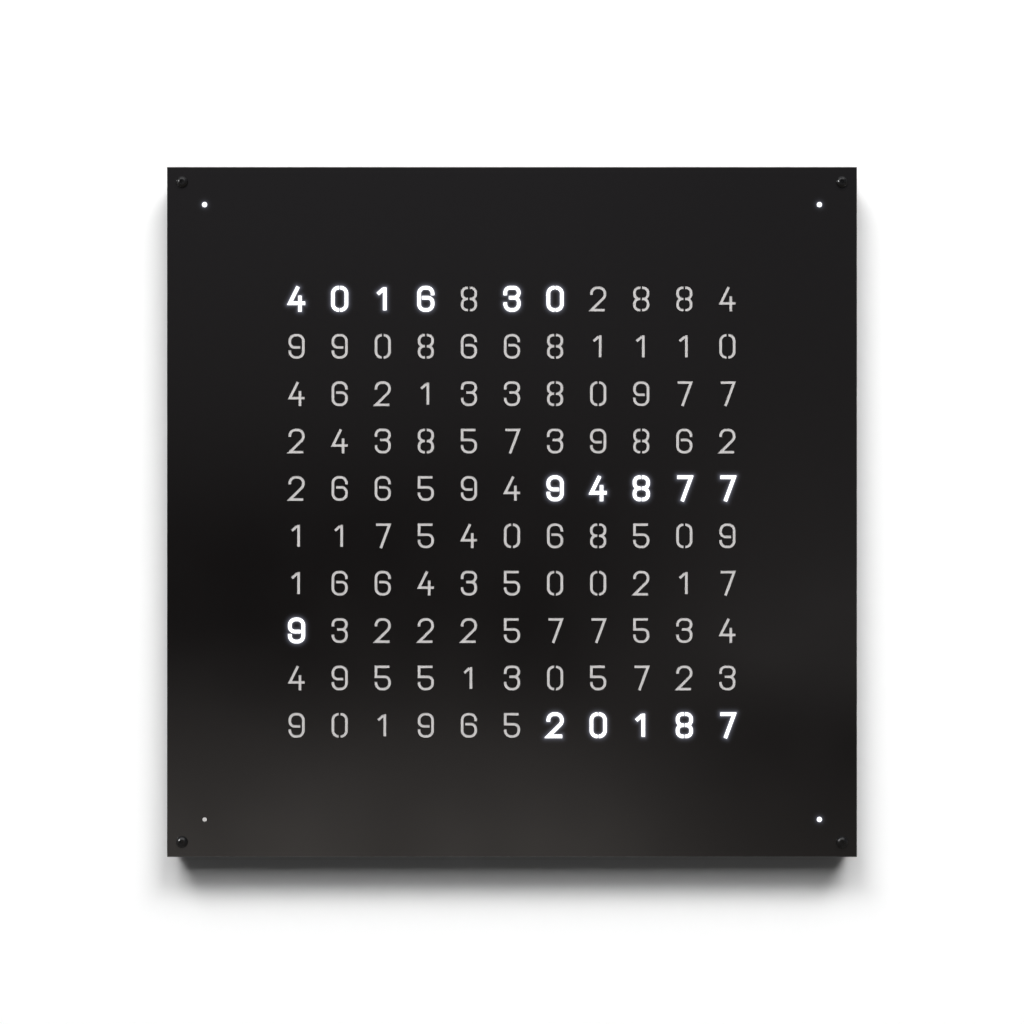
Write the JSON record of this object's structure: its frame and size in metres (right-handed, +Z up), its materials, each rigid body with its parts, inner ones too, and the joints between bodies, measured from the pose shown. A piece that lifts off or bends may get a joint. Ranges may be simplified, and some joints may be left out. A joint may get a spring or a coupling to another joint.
{
  "type": "word clock",
  "caption": "Flat square wall clock: a black steel face cut with a grid of lit figures, over a shallow wooden case with lamps, a control board and set buttons.",
  "frame": {"origin": "centre of the back panel's rear face, which lies on the wall", "axes": "+X right as seen from the front, +Y into the wall, +Z up"},
  "size_m": [0.45, 0.0222, 0.45],
  "materials": {
    "black_steel": "satin",
    "black_screw_steel": "satin",
    "brass": "satin",
    "opal_acrylic": "matte",
    "white_moulding": "matte",
    "white_circuit_board": "satin",
    "green_circuit_board": "satin",
    "lamp_package": "gloss",
    "nylon": "matte",
    "ribbon_jacket": "matte",
    "lead_jacket": "matte",
    "beech": "matte",
    "lacquered_board": "satin",
    "coated_sheet": "textured",
    "zinc_plated_steel": "satin",
    "aluminium": "satin",
    "black_moulding": "matte",
    "chip_resin": "matte",
    "capacitor_sleeve": "gloss",
    "cell_steel": "satin",
    "button_plastic": "matte"
  },
  "bodies": {
    "case": {"back_panel": "coated_sheet", "back_screws": "zinc_plated_steel", "back_up_cell": "cell_steel", "board_chips": "chip_resin", "board_screws": "zinc_plated_steel", "board_standoffs": "brass", "button_switches": "black_moulding", "capacitors": "capacitor_sleeve", "cell_holder": "black_moulding", "control_board": "green_circuit_board", "diffuser_sheet": "opal_acrylic", "frame_dowels": "beech", "front_panel": "black_steel", "hanger_cup_left": "zinc_plated_steel", "hanger_cup_right": "zinc_plated_steel", "hanger_rivets": "aluminium", "lamp_ribbon": "ribbon_jacket", "lamp_strip_01": "white_circuit_board", "lamp_strip_02": "white_circuit_board", "lamp_strip_03": "white_circuit_board", "lamp_strip_04": "white_circuit_board", "lamp_strip_05": "white_circuit_board", "lamp_strip_06": "white_circuit_board", "lamp_strip_07": "white_circuit_board", "lamp_strip_08": "white_circuit_board", "lamp_strip_09": "white_circuit_board", "lamp_strip_10": "white_circuit_board", "lead_clips": "nylon", "lead_sockets": "nylon", "light_grid": "white_moulding", "minute_board_bottom_left": "white_circuit_board", "minute_board_bottom_right": "white_circuit_board", "minute_board_top_left": "white_circuit_board", "minute_board_top_right": "white_circuit_board", "minute_lamps": "lamp_package", "minute_lead_bottom_left": "lead_jacket", "minute_lead_bottom_right": "lead_jacket", "minute_lead_top_left": "lead_jacket", "minute_lead_top_right": "lead_jacket", "minute_tube_bottom_left": "white_moulding", "minute_tube_bottom_right": "white_moulding", "minute_tube_top_left": "white_moulding", "minute_tube_top_right": "white_moulding", "module_screws": "zinc_plated_steel", "panel_inserts": "brass", "panel_screws": "black_screw_steel", "power_jack": "black_moulding", "power_pin": "brass", "power_recess": "black_moulding", "rail_bottom": "lacquered_board", "rail_left": "lacquered_board", "rail_right": "lacquered_board", "rail_top": "lacquered_board", "ribbon_connectors": "nylon", "row_lamps": "lamp_package", "timing_crystal": "aluminium"},
    "hour_key": {"hour_button": "button_plastic"},
    "minute_key": {"minute_button": "button_plastic"},
    "brightness_key": {"brightness_button": "button_plastic"},
    "mode_key": {"mode_button": "button_plastic"}
  },
  "joints": [
    {"name": "hour_press", "type": "slide", "parent": "case", "child": "hour_key", "axis": [0, -1, 0], "range_m": [0, 0.0008], "stiffness_N_per_m": 600, "springref_m": -0.0005},
    {"name": "minute_press", "type": "slide", "parent": "case", "child": "minute_key", "axis": [0, -1, 0], "range_m": [0, 0.0008], "stiffness_N_per_m": 600, "springref_m": -0.0005},
    {"name": "brightness_press", "type": "slide", "parent": "case", "child": "brightness_key", "axis": [0, -1, 0], "range_m": [0, 0.0008], "stiffness_N_per_m": 600, "springref_m": -0.0005},
    {"name": "mode_press", "type": "slide", "parent": "case", "child": "mode_key", "axis": [0, -1, 0], "range_m": [0, 0.0008], "stiffness_N_per_m": 600, "springref_m": -0.0005}
  ]
}
